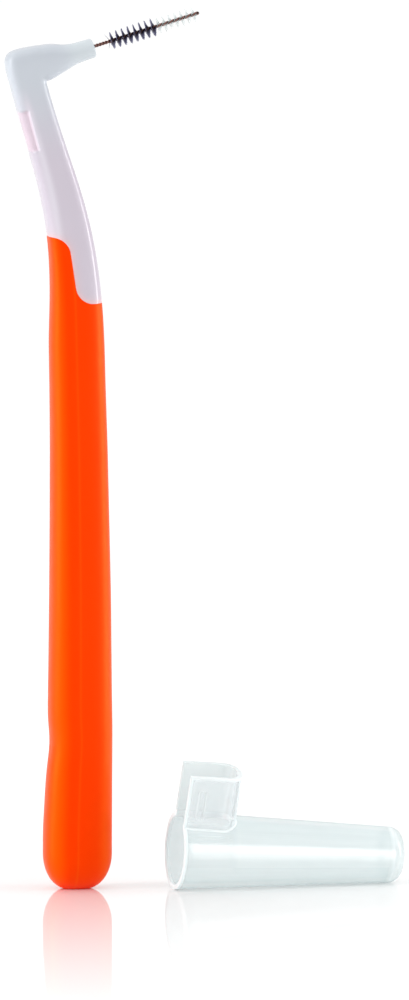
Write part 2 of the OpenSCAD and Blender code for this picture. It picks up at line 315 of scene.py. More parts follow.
# The cap's colours, those of its regions, where the front wall's, the lit edges' and the mouth's
# are painted light, and its gloss
CAP_COLOURS = ((0.56, 0.66, 0.665), (0.60, 0.69, 0.695))
CAP_BORE_COLOUR = (0.47, 0.64, 0.66)
CAP_FRONT_LIT_COLOUR = (0.74, 0.81, 0.84)
CAP_LIT_COLOUR = (0.73, 0.79, 0.80)
CAP_MOUTH_GLOW_COLOUR = (0.74, 0.83, 0.84)
CAP_ROUGHNESS = (0.17, 0.22)
CAP_IOR = 2.0

# Camera, floor and light
PHOTO_SCALE = 0.135
PHOTO_SIZE = (409, 1000)
ORIGIN_PIXEL = (76.4, 888)
CAMERA_AZIMUTH = -15
CAMERA_ELEVATION = 6.8
CAMERA_DISTANCE = 600
CAMERA_RANGE = 10
FLOOR_SIZE = 8000
FLOOR_WHITE = (0.96, 0.96, 0.96)
FLOOR_ROUGHNESS = 0.6
FLOOR_MIRROR = 0.60
FLOOR_FADE = 220
FLOOR_FADE_POWER = 1.3
# Cards round the brush: azimuth and brightness. Azimuth 0 is in front and 90 is to the right.
RING_START = -90
STUDIO_RING = [
    (-90, 1.3), (-60, 1.0), (-35, 0.35), (0, 0.25), (30, 0.5), (55, 1.0), (80, 1.0), (100, 0.35),
    (135, 0.2), (155, 0.6), (165, 0.9), (185, 0.9), (205, 0.5), (235, 0.2), (258, 0.9), (270, 1.3),
]
CEILING = 1.25
CEILING_BLEND = (0.35, 0.75)
# What the camera and the floor's mirror see behind the object
BACKDROP = 1.1
# Soft lamps that look at this height: azimuth, elevation, distance, width and height, and power
LAMP_AIM_Z = 60
LAMPS = {
    "left_strip": (-84, 4, 500, (110, 600), 1.9),
    "right_strip": (75, 4, 500, (40, 600), 1.7),
    "cap_box": (23, -2, 614, (120, 470), 1.2),
    "floor_glow": (0, -90, 250, (300, 300), 0.22),
}
CAP_BOX_COLOUR = (1.0, 0.96, 0.95)


def mix(low, high, share):
    return low + (high - low)*share


def smoothstep(x):
    x = np.clip(x, 0, 1)
    return x*x*(3 - 2*x)


def signed_power(x, p):
    return np.sign(x)*np.abs(x)**p


def turn(degrees):
    return math.radians(degrees)


# Directions along the head and square to it, in the XZ plane, and a point given in them, counted
# from the middle of the boss's end
HANDLE_H = GRIP_H + NECK_H
HEAD_ALONG = np.array([math.cos(turn(HEAD_TILT)), math.sin(turn(HEAD_TILT))])
HEAD_UP = np.array([-HEAD_ALONG[1], HEAD_ALONG[0]])
BOSS_END = np.array([-NECK_OFFSET, HANDLE_H]) + HEAD_L*HEAD_ALONG
PIVOT_S = NECK_W/2 + ELBOW_R - HEAD_L
PIVOT_N = -HEAD_H/2 - ELBOW_R


def head_point(s, n):
    return BOSS_END + s*HEAD_ALONG + n*HEAD_UP


# A section is a row: x and z of its middle, tilt of its width, half width, half thickness and
# squareness, where 2 is an ellipse and higher numbers are boxier
def section(middle, tilt, half_w, half_t, square):
    return [*middle, tilt, half_w, half_t, square]


def foot_sections():
    rows = []
    steps = 2*ARC_STEPS
    for i in range(steps):
        a = math.pi/2*i/steps
        middle = (GRIP_FOOT_X*math.sin(a), FOOT_ROUND*(1 - math.cos(a)))
        half_w = mix(FOOT_W, GRIP_W, math.sin(a))/2
        half_t = mix(FOOT_T, GRIP_T, math.sin(a))/2
        rows.append(section(middle, 0, half_w, half_t, GRIP_SQUARE))
    return rows


def grip_sections():
    z = np.arange(FOOT_ROUND, GRIP_H, ROW_STEP)
    height, *shares = GRIP_SHARES.T
    middle, wide, thick = (np.interp(z/GRIP_H, height, share) for share in shares)
    return np.stack([
        middle*GRIP_W, z, 0*z, wide*GRIP_W/2, thick*GRIP_T/2, 0*z + GRIP_SQUARE,
    ], axis=1)


def neck_sections():
    """The neck, along a curve with four control points."""
    low = np.array([0, GRIP_H])
    high = head_point(-HEAD_L, PIVOT_N)
    rise = high[1] - GRIP_H
    bend_low = low + np.array([0, BEND_LOW_SHARE*rise])
    bend_high = high - BEND_HIGH_SHARE*rise*HEAD_UP
    rows = []
    steps = int(rise/ROW_STEP)
    for i in range(1, steps + 1):
        t = i/steps
        u = 1 - t
        point = u**3*low + 3*u**2*t*bend_low + 3*u*t*t*bend_high + t**3*high
        way = u**2*(bend_low - low) + 2*u*t*(bend_high - bend_low) + t*t*(high - bend_high)
        fade = u**NECK_TAPER_SHARE
        rows.append(section(
            point, math.atan(-way[0]/way[1]),
            mix(NECK_W, GRIP_TOP_W, fade)/2, mix(NECK_T, GRIP_TOP_T, fade)/2,
            mix(NECK_SQUARE, GRIP_SQUARE, fade),
        ))
    return rows


def elbow_sections():
    """The elbow, fanned out from a pivot on its inside, with a boxy outer corner."""
    rows = []
    steps = 3*ARC_STEPS
    flare = turn(HEAD_FLARE)
    for i in range(1, steps + 1):
        a = math.pi - math.pi/2*i/steps
        back = max(0, -math.cos(a))/(NECK_W + ELBOW_R)
        top = max(0, math.sin(a + flare))/((HEAD_H + ELBOW_R)*math.cos(flare))
        out = (back**CORNER_SQUARE + top**CORNER_SQUARE)**(-1/CORNER_SQUARE)
        mid = (out + ELBOW_R)/2
        rows.append(section(
            head_point(PIVOT_S + mid*math.cos(a), PIVOT_N + mid*math.sin(a)),
            turn(HEAD_TILT) + a - math.pi, (out - ELBOW_R)/2, NECK_T/2, NECK_SQUARE,
        ))
    return rows


def head_sections():
    place = np.linspace(0, 1, int(-PIVOT_S/ROW_STEP) + 1)[1:]
    along, *shares = HEAD_SHARES.T
    wide, drop = (np.interp(place, along, share) for share in shares)
    rows = [
        section(
            head_point(PIVOT_S*(1 - p), mix(-BOSS_DROP, 0, d)), turn(HEAD_TILT - 90),
            mix(BOSS_D, HEAD_H, w)/2, mix(BOSS_D, NECK_T, w)/2, mix(BOSS_SQUARE, NECK_SQUARE, w),
        )
        for p, w, d in zip(place, wide, drop)
    ]
    return np.array(rows)


def boss_end_sections():
    """The boss's rounded edge, its flat end and the hole that the wire comes out of."""
    rows = []
    for i in range(1, ARC_STEPS + 1):
        a = math.pi/2*i/ARC_STEPS
        r = BOSS_D/2 - BOSS_EDGE_R*(1 - math.cos(a))
        rows.append((BOSS_EDGE_R*(math.sin(a) - 1), -BOSS_DROP, r))
    face_r = BOSS_D/2 - BOSS_EDGE_R
    for share in BOSS_FACE_SHARES:
        rows.append((0, mix(-BOSS_DROP, 0, share), mix(face_r, HOLE_R, share)))
    rows += [(-share*HOLE_DEPTH, 0, HOLE_R) for share in HOLE_SHARES]
    return [section(head_point(s, n), turn(HEAD_TILT - 90), r, r, BOSS_SQUARE) for s, n, r in rows]


def softened(rows, reach, columns):
    """The same rows, averaged over a bell of that reach in rows. The first and the last stay."""
    tail = 3*reach
    bell = np.exp(-0.5*(np.arange(-tail, tail + 1)/reach)**2)
    bell /= bell.sum()
    out = rows.copy()
    for c in columns:
        first, last = rows[0, c], rows[-1, c]
        padded = np.concatenate([
            2*first - rows[tail:0:-1, c], rows[:, c], 2*last - rows[-2:-tail - 2:-1, c]
        ])
        out[:, c] = np.convolve(padded, bell, mode="valid")
    return out


MIDDLE_X, MIDDLE_Z, TILT, HALF_W, HALF_T, SQUARE = range(6)
straight = softened(
    np.concatenate([grip_sections(), neck_sections()]), STRAIGHT_BELL,
    (MIDDLE_X, HALF_W, HALF_T, SQUARE),
)
head = softened(head_sections(), HEAD_BELL, (HALF_W, HALF_T, SQUARE))
head = head[:-int(BOSS_EDGE_R/ROW_STEP) - 1]
SECTIONS = np.concatenate([foot_sections(), straight, elbow_sections(), head, boss_end_sections()])
FIRST_STRAIGHT = len(foot_sections())
FIRST_ELBOW = FIRST_STRAIGHT + len(straight)


def surface(rows, angles, inset=0):
    """Points of the handle's skin at broken row numbers and angles round the section."""
    rows, angles, inset = np.broadcast_arrays(rows, angles, inset)
    low = np.clip(np.floor(rows).astype(int), 0, len(SECTIONS) - 2)
    share = (rows - low)[..., None]
    part = SECTIONS[low]*(1 - share) + SECTIONS[low + 1]*share
    power = 2/part[..., SQUARE]
    u = (part[..., HALF_W] - inset)*signed_power(np.cos(angles), power)
    v = (part[..., HALF_T] - inset)*signed_power(np.sin(angles), power)
    return np.stack([
        part[..., MIDDLE_X] + u*np.cos(part[..., TILT]), v,
        part[..., MIDDLE_Z] + u*np.sin(part[..., TILT]),
    ], axis=-1)


def row_at(z):
    """Broken row number of the height z on the straight part of the handle."""
    part = SECTIONS[FIRST_STRAIGHT:FIRST_ELBOW, MIDDLE_Z]
    return FIRST_STRAIGHT + np.interp(z, part, np.arange(len(part)))


# The seam's S-shaped line in the XZ plane, from -X to +X
SEAM_LOW_Z = GRIP_H + SEAM_RISE
SEAM_TOP_Z = SEAM_LOW_Z + SEAM_STEP
LEAN_SIN, LEAN_COS = math.sin(turn(SEAM_LEAN)), math.cos(turn(SEAM_LEAN))
SEAM_LINE = (SEAM_STEP - 2*SEAM_R + 2*SEAM_R*LEAN_SIN)/LEAN_COS
SEAM_SHIFT = SEAM_R*LEAN_COS + SEAM_LINE*LEAN_SIN/2
SEAM_SIDES = surface(row_at(SEAM_LOW_Z + SEAM_STEP/2), np.array([0, math.pi]))
SEAM_X = SEAM_SIDES[:, 0].mean() - SEAM_R*SEAM_SHIFT_SHARE


def arc(x, z, r, start, end):
    """Points from one angle in degrees to another."""
    a = np.radians(np.linspace(start, end, ARC_STEPS + 1))
    return np.stack([x + r*np.cos(a), z + r*np.sin(a)], axis=1)


def seam_curve():
    far = GRIP_W + NECK_OFFSET
    upper = arc(SEAM_X - SEAM_SHIFT, SEAM_TOP_Z - SEAM_R, SEAM_R, 90, SEAM_LEAN)
    lower = arc(SEAM_X + SEAM_SHIFT, SEAM_LOW_Z + SEAM_R, SEAM_R, 180 + SEAM_LEAN, 270)
    line = mix(upper[-1], lower[0], np.linspace(0, 1, 3*ARC_STEPS)[1:-1, None])
    return np.concatenate([[[-far, SEAM_TOP_Z]], upper, line, lower, [[far, SEAM_LOW_Z]]])


SEAM = seam_curve()


def seam_distance(x, z):
    """How far points lie above the seam, less than nothing below it."""
    p = np.stack([x.ravel(), z.ravel()], axis=1)
    least = np.full(len(p), np.inf)
    for start, step in zip(SEAM, np.diff(SEAM, axis=0)):
        along = np.clip((p - start) @ step/(step @ step), 0, 1)
        least = np.minimum(least, np.linalg.norm(p - start - along[:, None]*step, axis=1))
    above = p[:, 1] > np.interp(p[:, 0], SEAM[:, 0], SEAM[:, 1])
    return (np.where(above, 1, -1)*least).reshape(x.shape)


def ring_angles():
    """Angles of half a section, from +X to -X, closer together where the seam runs up."""
    even = np.linspace(0, math.pi, RING_HALF_STEPS + 1)
    part = SECTIONS[np.round(row_at(SEAM[1:-1, 1])).astype(int)]
    reach = np.clip((SEAM[1:-1, 0] - part[:, MIDDLE_X])/part[:, HALF_W], -1, 1)
    crossing = np.arccos(signed_power(reach, part[:, SQUARE]/2))
    half = [0.0]
    for a in sorted(np.concatenate([even, crossing])):
        wide_enough = a - half[-1] > COLUMN_LEAST_SHARE*math.pi/RING_HALF_STEPS
        if wide_enough and math.pi - a > COLUMN_LAST_GAP:
            half.append(a)
    half.append(math.pi)
    return np.array(half)


HALF = ring_angles()
RING = np.concatenate([HALF, -HALF[-2:0:-1]])


def seam_rows(side, fixed_row):
    """For each column, the rows from the seam to a fixed row above it or below it, and how far
    each is drawn in, so that the seam's edge is rounded."""
    low, high = row_at(SEAM_LOW_Z - SEAM_ZONE), row_at(SEAM_TOP_Z + SEAM_ZONE)
    fine = np.linspace(low, high, SEAM_FINE_ROWS)
    skin = surface(fine[:, None], RING[None, :])
    away = seam_distance(skin[..., 0], skin[..., 2])
    steps = SEAM_EDGE_R*SEAM_EDGE_SHARES
    inset = SEAM_EDGE_R - np.sqrt(SEAM_EDGE_R**2 - (SEAM_EDGE_R - steps)**2)
    edge = np.empty((len(steps), len(RING)))
    for j in range(len(RING)):
        crossing = np.argmax(away[:, j] > 0)
        near = slice(max(crossing - SEAM_NEAR_ROWS, 0), crossing + SEAM_NEAR_ROWS)
        rising = np.maximum.accumulate(away[near, j])
        edge[:, j] = np.interp(side*steps, rising, fine[near])
    shares = np.linspace(0, 1, SEAM_RINGS + 1)[1:, None]
    rest = mix(edge[-1], fixed_row, shares)
    insets = np.concatenate([inset, np.zeros(len(rest))])
    return np.concatenate([edge, rest]), insets[:, None]


def grid_faces(rows, columns):
    i, j = np.meshgrid(np.arange(rows - 1), np.arange(columns), indexing="ij")
    k = (j + 1) % columns
    quads = np.stack([i*columns + j, i*columns + k, (i + 1)*columns + k, (i + 1)*columns + j], -1)
    return quads.reshape(-1, 4).tolist()


def bridge_faces(first, columns):
    """Closes a ring with a wall straight across, from each column to its twin on the far side."""
    faces = []
    for j in range(columns//2):
        twin = columns - j
        corners = [first + j, first + j + 1, first + twin - 1, first + twin % columns]
        faces.append(list(dict.fromkeys(corners)))
    return faces


def new_object(name, data):
    made = bpy.data.objects.new(name, data)
    bpy.context.scene.collection.objects.link(made)
    return made


def solid_from(work, mesh):
    """An object whose mesh takes what a bmesh holds."""
    work.to_mesh(mesh)
    work.free()
    return new_object(mesh.name, mesh)


def new_mesh(name, points, faces):
    """A mesh object from points in millimetres, with its faces turned outwards."""
    mesh = bpy.data.meshes.new(name)
    mesh.from_pydata((np.asarray(points)*MM).tolist(), [], faces)
    work = bmesh.new()
    work.from_mesh(mesh)
    bmesh.ops.remove_doubles(work, verts=work.verts, dist=MERGE_GAP)
    bmesh.ops.recalc_face_normals(work, faces=work.faces)
    return solid_from(work, mesh)


def closed_skin(name, skin):
    """A solid inside rows of points round it, closed straight across at both ends."""
    count, columns = skin.shape[:2]
    faces = grid_faces(count, columns) + bridge_faces(0, columns)
    faces += bridge_faces((count - 1)*columns, columns)
    return new_mesh(name, skin.reshape(-1, 3), faces)


def apply_modifiers(piece):
    """Puts a piece's modifiers into its mesh."""
    seen = piece.evaluated_get(bpy.context.evaluated_depsgraph_get())
    mesh = bpy.data.meshes.new_from_object(seen)
    piece.modifiers.clear()
    piece.data = mesh


def boolean(piece, tool, operation):
    change = piece.modifiers.new(operation.lower(), "BOOLEAN")
    change.operation = operation
    change.solver = "EXACT"
    change.object = tool
    apply_modifiers(piece)
    bpy.data.objects.remove(tool)


def finished(piece, body, material, node, sharp_turn=SMOOTH_TURN):
    """Smooth shading, where edges that turn more than that stay sharp, and a material and a body,
    in place of the node that the piece stands for."""
    work = bmesh.new()
    work.from_mesh(piece.data)
    for face in work.faces:
        face.smooth = True
    for edge in work.edges:
        edge.smooth = edge.calc_face_angle(0) < turn(sharp_turn)
    work.to_mesh(piece.data)
    work.free()
    piece.data.materials.clear()
    piece.data.materials.append(material)
    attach(piece, body)
    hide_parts(node)
    return piece


# Nodes and materials
class Shading:
    """The nodes of a material or of the world. An input is given a number, a colour or another
    node's output."""

    def __init__(self, owner, shader="Principled BSDF"):
        owner.use_nodes = True
        self.owner = owner
        self.nodes = owner.node_tree.nodes
        self.links = owner.node_tree.links
        self.shader = self.nodes[shader]

    def give(self, socket, value):
        if isinstance(value, bpy.types.NodeSocket):
            self.links.new(value, socket)
        else:
            socket.default_value = (*value, 1) if socket.type == "RGBA" else value

    def fill(self, node, inputs):
        for name, value in inputs.items():
            self.give(node.inputs[name], value)
        return node

    def add(self, kind, inputs, **settings):
        made = self.nodes.new("ShaderNode" + kind)
        for name, value in settings.items():
            setattr(made, name, value)
        return self.fill(made, inputs)

    def noise(self, blobs, detail=3):
        """Noise of that many blobs a metre, fixed to the object."""
        place = self.add("TexCoord", {}).outputs["Object"]
        inputs = {"Vector": place, "Scale": blobs, "Detail": detail}
        return self.add("TexNoise", inputs).outputs["Fac"]

    def attribute(self, name, output="Fac"):
        return self.add("Attribute", {}, attribute_name=name).outputs[output]

    def ranged(self, value, low, high, start=0.3, end=0.7):
        """From low to high as the value goes from start to end, the usual reach of noise."""
        inputs = {
            "Value": value, "From Min": start, "From Max": end, "To Min": low, "To Max": high,
        }
        return self.add("MapRange", inputs).outputs["Result"]

    def below(self, value, limit, soft=CAP_EDGE_GLOW):
        """1 up to the limit, and down to 0 over that softness above it."""
        return self.ranged(value, 1, 0, limit, limit + soft)

    def above(self, value, limit, soft=CAP_EDGE_GLOW):
        """1 from the limit on, and down to 0 over that softness under it."""
        return self.ranged(value, 0, 1, limit - soft, limit)

    def calc(self, operation, *values):
        inputs = dict(enumerate(values))
        return self.add("Math", inputs, operation=operation).outputs["Value"]

    def product(self, first, *rest):
        for value in rest:
            first = self.calc("MULTIPLY", first, value)
        return first

    def gap(self, a, b):
        return self.calc("ABSOLUTE", self.calc("SUBTRACT", a, b))

    def excess(self, a, b):
        return self.calc("MAXIMUM", self.calc("SUBTRACT", a, b), 0)

    def diagonal(self, a, b):
        return self.calc("SQRT", self.calc("MULTIPLY_ADD", a, a, self.calc("MULTIPLY", b, b)))

    def parts(self, vector):
        return self.add("SeparateXYZ", {"Vector": vector}).outputs

    def blended(self, share, low, high):
        """A colour between two."""
        made = self.add("Mix", {"Factor": share}, data_type="RGBA")
        for name, colour in (("A", low), ("B", high)):
            socket = next(s for s in made.inputs if s.name == name and s.type == "RGBA")
            self.give(socket, colour)
        return next(s for s in made.outputs if s.type == "RGBA")

    def uneven(self, blobs, colours, roughness, marks, finish):
        """The material with its finish, and with a colour and a gloss that vary a little. Each mark
        is a share, or the name under which the mesh keeps it, and the colour that it brings in."""
        colour_blobs, gloss_blobs = blobs
        colour = self.blended(self.noise(colour_blobs), *colours)
        for share, stain in marks:
            share = self.attribute(share) if isinstance(share, str) else share
            colour = self.blended(share, colour, stain)
        gloss = self.ranged(self.noise(gloss_blobs), *roughness)
        self.fill(self.shader, {"Base Color": colour, "Roughness": gloss, **finish})
        return self.owner


def moulded_plastic(name, colours, roughness, marks, finish):
    """Satin moulded plastic with a fine skin."""
    tree = Shading(bpy.data.materials.new(name))
    skin = tree.add("Bump", {
        "Height": tree.noise(SKIN_BLOBS, SKIN_DETAIL), "Strength": SKIN_STRENGTH,
        "Distance": SKIN_DEPTH*MM,
    })
    finish = {**finish, "Normal": skin.outputs["Normal"]}
    return tree.uneven(PLASTIC_BLOBS, colours, roughness, marks, finish)


def wire_metal():
    tree = Shading(bpy.data.materials.new("wire_metal"))
    return tree.uneven(
        WIRE_BLOBS, colours=((0.12, 0.050, 0.042), (0.30, 0.15, 0.125)), roughness=(0.28, 0.42),
        # Both marks are painted shade: in the crevices between the strands, and under the dark
        # filaments
        marks=[("groove", (0.030, 0.016, 0.016)), ("dyed", (0.025, 0.010, 0.014))],
        finish={"Metallic": 0.7},
    )


def filament_nylon(name, colours, tip, roughness, alpha):
    """Nylon filaments, paler towards their tips, where they stand apart and light comes through."""
    tree = Shading(bpy.data.materials.new(name))
    return tree.uneven(NYLON_BLOBS, colours, roughness, [("tip", tip)], {"Alpha": alpha})


def cap_regions(tree, x, y, z):
    """Shares of the cap's regions at a place in it: the walls of the channel, its back and front
    wall, the bore, the mouth's edge and all that gets painted light, and the radius of the skin
    there."""
    calc, product, below, above = tree.calc, tree.product, tree.below, tree.above
    skin = calc("MULTIPLY_ADD", x, -(CAP_MOUTH_D - CAP_END_D)/2/CAP_TAPER_L, CAP_MOUTH_D/2)
    depth = calc("SUBTRACT", skin, tree.diagonal(y, z))
    depth = calc("MINIMUM", depth, calc("SUBTRACT", CAP_L, x))

    # How far a point lies from the middle of the channel's wall, seen from above
    past = tree.excess(x, CHANNEL_L - CHANNEL_R)
    aside = tree.excess(calc("ABSOLUTE", y), CHANNEL_OUT_W/2 - CHANNEL_R)
    from_wall = tree.gap(tree.diagonal(past, aside), CHANNEL_R - CAP_WALL/2)
    channel = product(below(depth, -CAP_EDGE_R), above(z, 0))
    back = product(channel, above(y, CAP_BACK_Y, CAP_BACK_Y))
    front = calc("SUBTRACT", channel, back)
    bore = above(depth, CAP_WALL - CAP_BORE_SLACK, CAP_BORE_FADE)

    # Painted light: cut edges and thick places, lit as if by what the walls lead to them, and a
    # painted highlight where the tip starts to round
    not_back = calc("SUBTRACT", 1, back)
    mouth = product(below(x, 2*CAP_EDGE_R, 2*CAP_EDGE_GLOW), not_back)
    under_top = calc("SUBTRACT", CHANNEL_H, calc("MULTIPLY_ADD", x, CHANNEL_DROP/CHANNEL_L, z))
    top = product(below(under_top, 2*CAP_EDGE_R, 2*CAP_EDGE_GLOW), not_back)
    near_wall = CAP_WALL/2 + CAP_EDGE_R
    in_wall = below(tree.gap(depth, CAP_WALL/2), near_wall)
    root = product(below(from_wall, near_wall), in_wall, above(z, 0))
    end = product(CHANNEL_END_GLOW, channel, tree.ranged(past, 0, 1, CHANNEL_R/2, CHANNEL_R))
    at_tip = (x, CAP_TAPER_L, CAP_TIP_FADE)
    tip = product(CAP_TIP_GLOW, above(*at_tip), below(*at_tip))
    from_rib = tree.diagonal(calc("SUBTRACT", x, RIB_FROM_MOUTH), tree.excess(z, RIB_HIGH - RIB_W/2))
    rib_edge = product(
        below(tree.gap(from_rib, RIB_W/2), RIB_EDGE/2, RIB_EDGE/2), above(z, RIB_LOW), front,
        above(y, -CHANNEL_IN_W/2 - RIB_EDGE),
    )
    lit = mouth
    for region in (top, root, end, tip, rib_edge):
        lit = calc("MAXIMUM", lit, region)
    return channel, back, front, bore, mouth, lit, skin


def flow_streaks(tree, x, y, z, skin):
    """Streaks along the cap, as the plastic flowed in its mould."""
    flow = tree.add("CombineXYZ", {
        "X": tree.calc("MULTIPLY", x, STREAK_SQUEEZE), "Y": tree.calc("DIVIDE", y, skin),
        "Z": tree.calc("DIVIDE", z, skin),
    })
    streaks = tree.add("TexNoise", {
        "Vector": flow.outputs["Vector"], "Scale": STREAK_BLOBS, "Detail": STREAK_DETAIL,
    })
    return tree.ranged(streaks.outputs["Fac"], -CAP_STREAK, CAP_STREAK, *STREAK_RANGE)


def clear_plastic():
    """Clear plastic with a faint haze, denser where a wall is seen edge on. The cap's own place, in
    millimetres, is kept in its mesh."""
    tree = Shading(bpy.data.materials.new("clear_plastic"))
    calc = tree.calc
    place = tree.parts(tree.attribute("cap_place", "Vector"))
    x, y, z = (place[name] for name in "XYZ")
    channel, back, front, bore, mouth, lit, skin = cap_regions(tree, x, y, z)
    off_channel = calc("SUBTRACT", 1, channel)
    veil = calc("MULTIPLY_ADD", flow_streaks(tree, x, y, z, skin), off_channel, SKIN_HAZE)
    near_mouth = tree.below(x, CAP_INSIDE_X, CAP_INSIDE_FADE)
    slant = tree.add("LayerWeight", {}).outputs["Facing"]
    for share, haze in (
        (bore, BORE_HAZE - SKIN_HAZE), (tree.product(bore, near_mouth), INSIDE_HAZE),
        (back, BACK_HAZE - SKIN_HAZE), (front, FRONT_HAZE - SKIN_HAZE),
        (calc("POWER", slant, SLANT_POWER), SLANT_HAZE), (lit, EDGE_HAZE),
    ):
        veil = calc("MULTIPLY_ADD", share, haze, veil)
    # Painted light: the front wall is whiter, as it catches more light, and the lit edges and the
    # mouth get a painted glow
    marks = [
        (bore, CAP_BORE_COLOUR), (front, CAP_FRONT_LIT_COLOUR), (lit, CAP_LIT_COLOUR),
        (mouth, CAP_MOUTH_GLOW_COLOUR),
    ]
    finish = {"Alpha": calc("MINIMUM", veil, 1), "IOR": CAP_IOR}
    return tree.uneven(CAP_BLOBS, CAP_COLOURS, CAP_ROUGHNESS, marks, finish)


def make_materials():
    return {
        "grip": moulded_plastic(
            "grip_plastic", colours=((0.98, 0.022, 0.0002), (1.0, 0.026, 0.0004)),
            roughness=(0.39, 0.45),
            # The sides' lighter orange is painted light
            marks=[("side", (1.0, 0.062, 0.0006)), ("part_line", (1.0, 0.06, 0.003))],
            finish={"Specular IOR Level": 0.36, "Specular Tint": (1.0, 1.0, 0.0)},
        ),
        "neck": moulded_plastic(
            "neck_plastic", colours=((0.50, 0.535, 0.585), (0.52, 0.555, 0.605)),
            roughness=(0.19, 0.25), finish={},
            marks=[
                # The lighter band's colour is a painted highlight
                ("lilac", (0.55, 0.50, 0.57)), ("band", (0.65, 0.61, 0.68)),
                ("blush", (0.66, 0.50, 0.58)), ("rim", (1.0, 0.45, 0.38)),
                ("light", (0.60, 0.66, 0.68)),
            ],
        ),
        "wire": wire_metal(),
        "dark": filament_nylon(
            "dark_nylon", colours=((0.012, 0.009, 0.020), (0.035, 0.032, 0.065)),
            tip=(0.19, 0.19, 0.30), roughness=(0.30, 0.40), alpha=1,
        ),
        "pale": filament_nylon(
            "pale_nylon", colours=((0.60, 0.66, 0.66), (0.72, 0.78, 0.78)),
            tip=(0.75, 0.81, 0.81), roughness=(0.25, 0.35), alpha=0.36,
        ),
        "cap": clear_plastic(),
    }


# The white neck and the orange grip share one skin, which the seam parts
def in_head_frame(points):
    away = points[..., [0, 2]] - BOSS_END
    return away @ HEAD_ALONG, away @ HEAD_UP


def notch_share(points):
    """1 where the notch is at its full depth, 0 outside it, and between them on its edges."""
    s, n = in_head_frame(points)
    share = 1
    for inside in (-HEAD_L - NECK_W/2 + NOTCH_W - s, -NOTCH_TOP - n, n + NOTCH_TOP + NOTCH_L):
        share = share*smoothstep(inside/NOTCH_EDGE + 0.5)
    return share


def mark(piece, **shares):
    """Keeps shares at the points of a piece, under the names that its material reads."""
    for name, values in shares.items():
        made = piece.data.attributes.new(name, "FLOAT", "POINT")
        made.data.foreach_set("value", np.asarray(values, np.float32).ravel())


def piece_points(piece):
    points = np.empty(len(piece.data.vertices)*3)
    piece.data.vertices.foreach_get("co", points)
    return points.reshape(-1, 3)/MM


def spine(name):
    """The bar inside the grip, with the holes across it that key the grip to it."""
    top = SEAM_TOP_Z + SEAM_R/2
    x = SPINE_BACK - GRIP_TOP_W/2 + SPINE_W/2
    middle = Vector((x, 0, (SPINE_Z + top)/2))*MM
    size = Vector((SPINE_W, SPINE_T, top - SPINE_Z))*MM
    work = bmesh.new()
    bmesh.ops.create_cube(work, size=1, matrix=Matrix.LocRotScale(middle, None, size))
    made = solid_from(work, bpy.data.meshes.new(name))
    for i in range(1, KEY_COUNT + 1):
        z = mix(SPINE_Z, SEAM_LOW_Z, i/(KEY_COUNT + 1))
        across = Matrix.Rotation(math.pi/2, 4, "X")
        work = bmesh.new()
        bmesh.ops.create_cone(
            work, cap_ends=True, segments=KEY_SIDES, radius1=KEY_D/2*MM, radius2=KEY_D/2*MM,
            depth=2*SPINE_T*MM, matrix=Matrix.Translation(Vector((x, 0, z))*MM) @ across,
        )
        boolean(made, solid_from(work, bpy.data.meshes.new("key")), "DIFFERENCE")
    return made


def at_height(z, values):
    """What a column of the sections comes to at that height, below the elbow."""
    return np.interp(z, SECTIONS[:FIRST_ELBOW, MIDDLE_Z], values[:FIRST_ELBOW])


def make_neck(material):
    zone_end = row_at(SEAM_TOP_Z + SEAM_ZONE)
    rows, insets = seam_rows(1, zone_end)
    notch_ends = (-NOTCH_TOP - NOTCH_L - NOTCH_MARGIN, -NOTCH_TOP + NOTCH_MARGIN)
    notch_low, notch_high = (row_at(head_point(-HEAD_L, n)[1]) for n in notch_ends)
    upper = np.concatenate([
        np.arange(zone_end + RING_ROWS, notch_low, RING_ROWS),
        np.arange(notch_low, notch_high),
        np.arange(notch_high, FIRST_ELBOW, RING_ROWS),
        np.arange(FIRST_ELBOW, len(SECTIONS)),
    ])
    skin = np.concatenate([
        surface(rows, RING[None, :], insets), surface(upper[:, None], RING[None, :])
    ])
    skin[..., 1] *= 1 - notch_share(skin)*NOTCH_DEPTH/(NECK_T/2)
    piece = closed_skin("neck_moulding", skin)
    boolean(piece, spine("spine"), "UNION")
    points = piece_points(piece)
    x, z = points[:, 0], points[:, 2]
    s, n = in_head_frame(points)
    away = np.maximum(seam_distance(x, z), 0)
    seam_blush = SEAM_BLUSH_SHARE*np.exp(-away/SEAM_BLUSH_FADE)
    back = at_height(z, SECTIONS[:, MIDDLE_X] - SECTIONS[:, HALF_W])
    # A painted highlight: a lighter band just inside the back edge of the neck
    band = np.exp(-((x - back - SHEEN_INSIDE)/SHEEN_W)**2)
    mark(
        piece, lilac=smoothstep((HANDLE_H - z)/LILAC_FADE), rim=RIM_SHARE*np.exp(-away/RIM_FADE),
        blush=NOTCH_BLUSH_SHARE*notch_share(points) + seam_blush,
        light=LIGHT_SHARE*smoothstep((s + LIGHT_START)/LIGHT_FADE),
        band=band*smoothstep((-n - SHEEN_START)/SHEEN_FADE),
    )
    return finished(piece, "brush", material, "neck")


